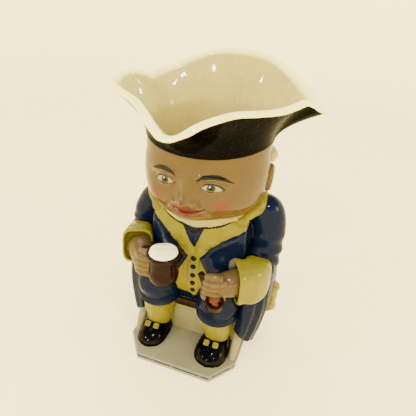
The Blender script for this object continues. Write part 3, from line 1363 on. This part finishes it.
def blue_glaze(name):
    """Cobalt blue in uneven washes, thin and grey on the crests and dark in the folds."""
    glaze = Glaze(name, COAT_BLUE, 0.6, 12.0, 0.16)
    wash = glaze.between(glaze.noise(16.0, 4.0, (1.0, 1.0, 0.5)), 0.54, 0.76, 0.5)
    glaze.lay(BLUE_WASH, wash)
    glaze.pooled(BLUE_POOLED, 0.03, 0.35, 0.85)
    glaze.wear(BLUE_WORN, 0.20, 0.60, 0.6)
    glaze.wear(BLUE_RUBBED, 0.60, 1.00, 0.6)
    return glaze


def coat_glaze():
    """The blue coat with yellow waistcoat and revers, a blue cravat and pale linen."""
    glaze = blue_glaze("coat_glaze")
    blue = glaze.colour
    yellow = glaze.streaked(YELLOW, 0.45)
    glaze.lay(yellow, glaze.inside("waistcoat"))
    glaze.lay(SEAM_OLIVE, glaze.below(glaze.field("seam"), 0.1, 0.5))
    glaze.lay(blue, glaze.inside("cravat"))
    glaze.lay(yellow, glaze.inside("collar", 0.2, 0.4, 0.5))
    glaze.lay(yellow, glaze.inside("revers"))
    glaze.lay(blue, glaze.inside("lapel"))
    glaze.lay(glaze.streaked(LINEN_WHITE, 0.2), glaze.inside("linen"))
    glaze.lay(PAINT_BLACK, glaze.inside("neckline", 0.2, 0.3))
    glaze.wear(COAT_RUBBED, 0.80, 1.40, 0.35)
    return glaze.done(0.10)


def yellow_glaze(name):
    """Strong yellow, greener in the hollows and pale on the edges."""
    glaze = Glaze(name, YELLOW, 0.45, 10.0)
    glaze.pooled(YELLOW_POOLED, 0.02, 0.30, 0.8)
    glaze.wear(YELLOW_WORN, 0.16, 0.60, 0.6)
    return glaze.done(0.10)


def dark_glaze(name, colour, pale):
    """Black or brown glaze with paler worn crests."""
    glaze = Glaze(name, colour, 0.5, 8.0, 0.16)
    glaze.wear(pale, 0.18, 0.60, 0.4)
    return glaze.done(0.09)


def base_glaze():
    """Cream slab with a thin, broken blue line just under its upper edge."""
    glaze = cream_glaze("base_glaze", BASE_CREAM)
    field = glaze.field("edge")
    line = glaze.sum(glaze.between(field, 1.15, 1.40), glaze.between(field, 3.1, 3.35), "SUBTRACT")
    broken = glaze.between(glaze.noise(5.0, 2.0), 0.25, 0.45)
    glaze.lay(LINE_BLUE, glaze.sum(line, broken, "MULTIPLY"))
    return glaze.done(0.08)


def shoe_glaze():
    """Black shoes with a greyer line where the sole meets the upper."""
    glaze = Glaze("shoe_glaze", HAT_BLACK, 0.4, 8.0, 0.12)
    glaze.lay(SOLE_GREY, glaze.inside("sole", 0.3, 0.3))
    glaze.wear(SHOE_WORN, 0.20, 0.6, 0.5)
    return glaze.done(0.09)


# Camera, light and floor

SOFT_LIGHTS = (                              # name, place, size, power, colour
    ("softbox_top", (-0.55, 0.75, 2.2), 1.9, 52.0, SOFTBOX_WHITE),
    ("softbox_side", (1.30, 0.10, 0.80), 0.34, 9.0, SOFTBOX_WHITE),
    ("lamp_front", (-0.12, -0.75, 0.75), 0.055, 4.5, LAMP_WHITE),
    ("lamp_right", (0.42, -0.40, 0.85), 0.045, 2.6, LAMP_WHITE),
    ("lamp_high", (0.16, -0.30, 1.15), 0.060, 4.2, LAMP_WHITE),
    ("lamp_left", (-0.50, -0.42, 0.62), 0.050, 2.6, LAMP_WHITE),
)
LIT_PLACE = (0.0, 0.0, 0.12)
FLOOR_RADIUS = 2.2
SWEEP_RADIUS = 1.2


def stage():
    """A pale floor that sweeps up into a wall all round, under soft studio light."""
    columns = 128
    turn = around(columns)
    wall = FLOOR_RADIUS + SWEEP_RADIUS
    line = [(0.4, 0.0), (1.2, 0.0), (FLOOR_RADIUS, 0.0)]
    line += [(FLOOR_RADIUS + SWEEP_RADIUS * math.sin(a), SWEEP_RADIUS - SWEEP_RADIUS * math.cos(a))
             for a in np.linspace(0.1, math.pi / 2, 16)]
    line.append((wall, 2.0))
    grid = np.array([np.stack([r * np.cos(turn), r * np.sin(turn), 0 * turn + z], axis=1)
                     for r, z in line])
    faces = [f[::-1] for f in grid_faces(len(line), columns)] + [list(range(columns))]
    floor = add_mesh("floor", grid.reshape(-1, 3), faces)
    paint = bpy.data.materials.new("floor_paint")
    paint.use_nodes = True
    nodes, links = paint.node_tree.nodes, paint.node_tree.links
    shader = nodes["Principled BSDF"]
    set_inputs(shader, {"Base Color": (*FLOOR_PAINT, 1.0), "Roughness": 1.0, "Specular IOR Level": 0.0,
                        "Emission Color": (*FLOOR_GLOW, 1.0)})
    length = nodes.new("ShaderNodeVectorMath")
    length.operation = "LENGTH"
    links.new(nodes.new("ShaderNodeTexCoord").outputs["Object"], length.inputs[0])
    glow = nodes.new("ShaderNodeMapRange")
    set_inputs(glow, {"From Min": 0.0, "From Max": wall, "To Min": 1.1, "To Max": 2.4})
    links.new(length.outputs["Value"], glow.inputs["Value"])
    links.new(glow.outputs["Result"], shader.inputs["Emission Strength"])
    floor.data.materials.append(paint)
    world = bpy.data.worlds.new("studio")
    world.use_nodes = True
    set_inputs(world.node_tree.nodes["Background"], {"Color": (*SKY_WHITE, 1.0), "Strength": 0.70})
    bpy.context.scene.world = world
    for name, place, size, power, colour in SOFT_LIGHTS:
        light = bpy.data.lights.new(name, "AREA")
        light.size = size
        light.energy = power
        light.color = colour
        lamp = add_object(name, light)
        lamp.location = place
        aim = Vector(LIT_PLACE) - Vector(place)
        lamp.rotation_euler = aim.to_track_quat("-Z", "Y").to_euler()


def camera():
    """The photograph's viewpoint: its turn, height, distance, roll and focal length."""
    azimuth, elevation, roll = (math.radians(a) for a in (17.12, 26.0, 4.934))
    distance = 0.3014
    target = Vector((0.0, 0.01083, 0.11564))
    focal_pixels, frame_pixels = 383.7, 416.0
    back = Vector((math.sin(azimuth) * math.cos(elevation),
                   -math.cos(azimuth) * math.cos(elevation), math.sin(elevation)))
    right = (-back).cross(Vector((0, 0, 1))).normalized()
    up = right.cross(-back)
    turned_right = right * math.cos(roll) + up * math.sin(roll)
    turned_up = up * math.cos(roll) - right * math.sin(roll)
    lens = bpy.data.cameras.new("camera")
    lens.sensor_width = 36.0
    lens.lens = focal_pixels / frame_pixels * lens.sensor_width
    lens.clip_start = 0.01
    view = add_object("camera", lens)
    turn = Matrix((turned_right, turned_up, back)).transposed().to_4x4()
    view.matrix_world = Matrix.Translation(target + back * distance) @ turn
    bpy.context.scene.camera = view


def dress(pieces, material, crest_rounds=5):
    """Give pieces their glaze and tie them to the jug in the frame."""
    for piece in pieces:
        add_crest(piece, crest_rounds)
        piece.data.materials.clear()
        piece.data.materials.append(material)
        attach(piece, "root")
        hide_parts(JUG)


def main():
    """Make every piece, glaze it and set the studio."""
    hat = hat_and_bowl()
    dress([hat], hat_glaze("bowl_glaze", 0.45))
    hat.data.materials.append(hat_glaze("hat_glaze", 0.06))
    row = np.arange(len(hat.data.polygons)) // HAT_COLUMNS
    hat.data.polygons.foreach_set("material_index", (row < HAT_ROWS_OUTSIDE).astype(np.int32))
    dress([head()], flesh_glaze("face_glaze", face=True), 8)
    dress([ear(*side) for side in SIDES], flesh_glaze("ear_glaze"))
    hands = [hand("left_hand", (26.0, -35.0, 74.0), (40.0, -24.0, 75.0), -1),
             hand("right_hand", (-31.5, -33.0, 79.0), (-42.0, -22.0, 82.0), 1)]
    dress(hands, flesh_glaze("hand_glaze"), 8)
    dress([hair(*side) for side in SIDES], cream_glaze("hair_glaze", HAIR_WHITE).done(0.12))
    dress([coat()], coat_glaze(), 8)
    yellow = yellow_glaze("yellow_glaze")
    cuffs = [cuff("left_cuff", LEFT_CUFF, (0.86, 1.02), 0.35),
             cuff("right_cuff", RIGHT_CUFF, (0.80, 1.04), -0.2)]
    dress(cuffs + [facing(*side) for side in SIDES] + [handle()], yellow)
    blue = blue_glaze("breeches_glaze").done(0.10)
    black = dark_glaze("black_glaze", PAINT_BLACK, BLACK_WORN)
    for word, measures in (("left", LEFT_LEG), ("right", RIGHT_LEG)):
        breeches, stocking, boot, *buckles = leg(word, **measures)
        dress([breeches], blue, 2)
        dress([stocking] + buckles, yellow)
        dress([boot], shoe_glaze())
    dress(buttons(), black)
    cup, froth, loop = mug()
    brown = dark_glaze("brown_glaze", MUG_BROWN, BROWN_WORN)
    dress([cup, loop], brown)
    dress([froth], cream_glaze("froth_glaze", FROTH_WHITE).done(0.12))
    bowl, stem, embers = pipe()
    dress([bowl, stem], brown)
    dress([embers], dark_glaze("ember_glaze", EMBER_ORANGE, EMBER_WORN))
    dress([rounded_block("bench", (-38.5, -13.0, 28.0), (38.5, -6.5, 35.0), 0.22)],
          dark_glaze("bench_glaze", BENCH_BROWN, BENCH_WORN))
    cream = cream_glaze("clay_glaze", BASE_CREAM).done(0.08)
    dress([pedestal()] + [ridge(*side) for side in SIDES], cream)
    dress([base()], base_glaze())
    stage()
    camera()


main()
